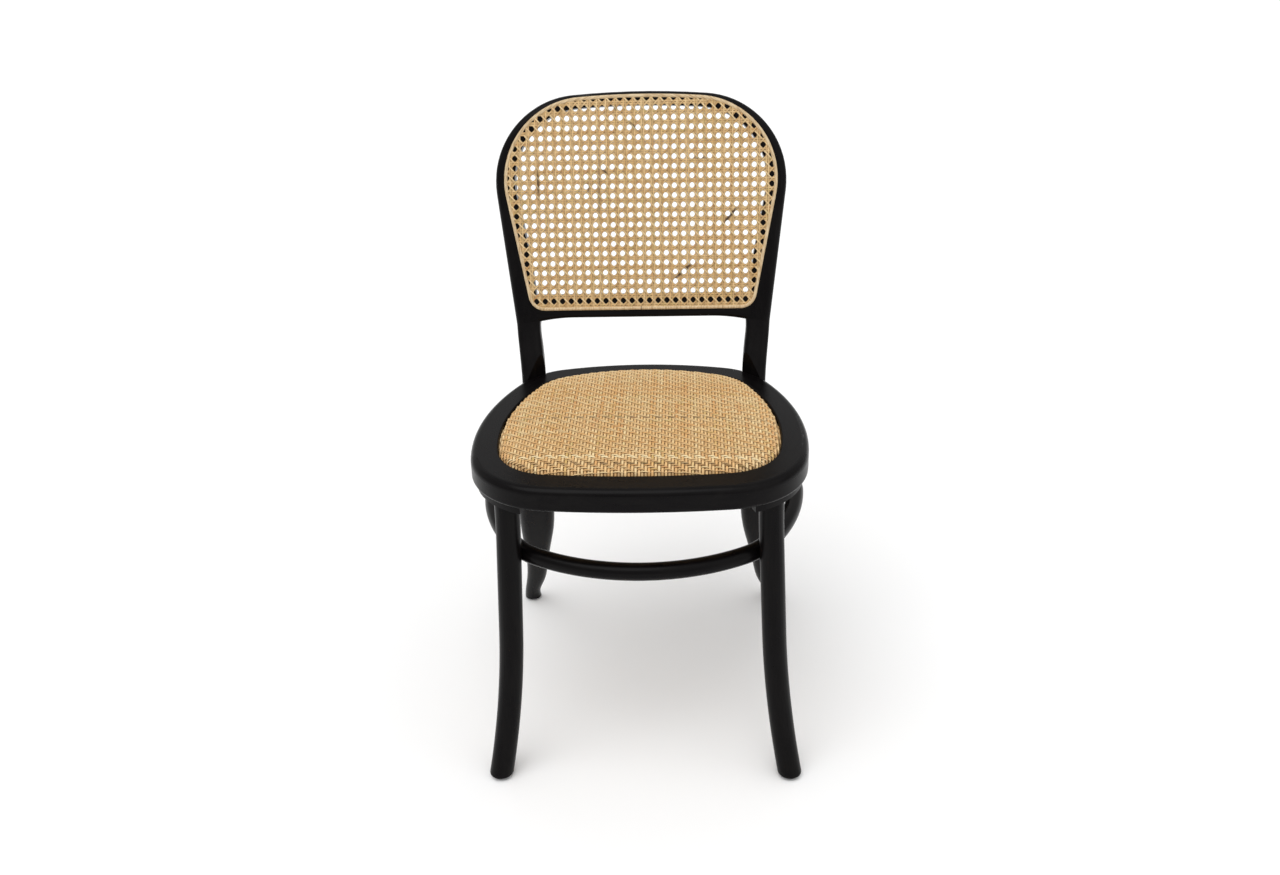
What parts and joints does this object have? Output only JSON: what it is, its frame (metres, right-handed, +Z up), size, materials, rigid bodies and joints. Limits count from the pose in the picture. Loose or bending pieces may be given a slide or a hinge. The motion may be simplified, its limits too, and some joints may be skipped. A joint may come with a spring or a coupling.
{
  "type": "chair",
  "caption": "Bentwood bistro chair with a dark stained frame, round stretcher ring, open cane back and close woven cane seat.",
  "frame": {"origin": "on the floor under the middle of the chair", "axes": "+Z up, +X to the left of a person sitting on the chair, +Y towards the back"},
  "size_m": [0.4604, 0.4942, 0.8523],
  "materials": {
    "dark_wood": "bent beech stained nearly black, satin varnish",
    "open_cane": "hand woven rattan cane, dry and matt",
    "cane_reed": "split rattan reed, pale, matt",
    "plywood": "bare plywood",
    "seat_foam": "thin upholstery foam pad",
    "woven_cane": "close woven rattan, dry and matt",
    "zinc_steel": "plated steel",
    "dark_screws": "darkened steel screws",
    "glide_plastic": "hard dark plastic"
  },
  "bodies": {
    "root": {"back_hoop": "dark_wood", "back_rail": "dark_wood", "seat_ring": "dark_wood", "stretcher_ring": "dark_wood", "front_leg_left": "dark_wood", "front_leg_right": "dark_wood", "leg_block_left": "dark_wood", "leg_block_right": "dark_wood", "bolt_plugs": "dark_wood", "cane_panel": "open_cane", "cane_spline": "cane_reed", "seat_board": "plywood", "seat_foam": "seat_foam", "seat_cover": "woven_cane", "post_bolts": "zinc_steel", "bolt_washers": "zinc_steel", "barrel_nuts": "zinc_steel", "stretcher_screws": "dark_screws", "seat_screws": "dark_screws", "block_screws": "dark_screws", "glide_front_left": "glide_plastic", "glide_front_right": "glide_plastic", "glide_rear_left": "glide_plastic", "glide_rear_right": "glide_plastic"}
  },
  "joints": []
}
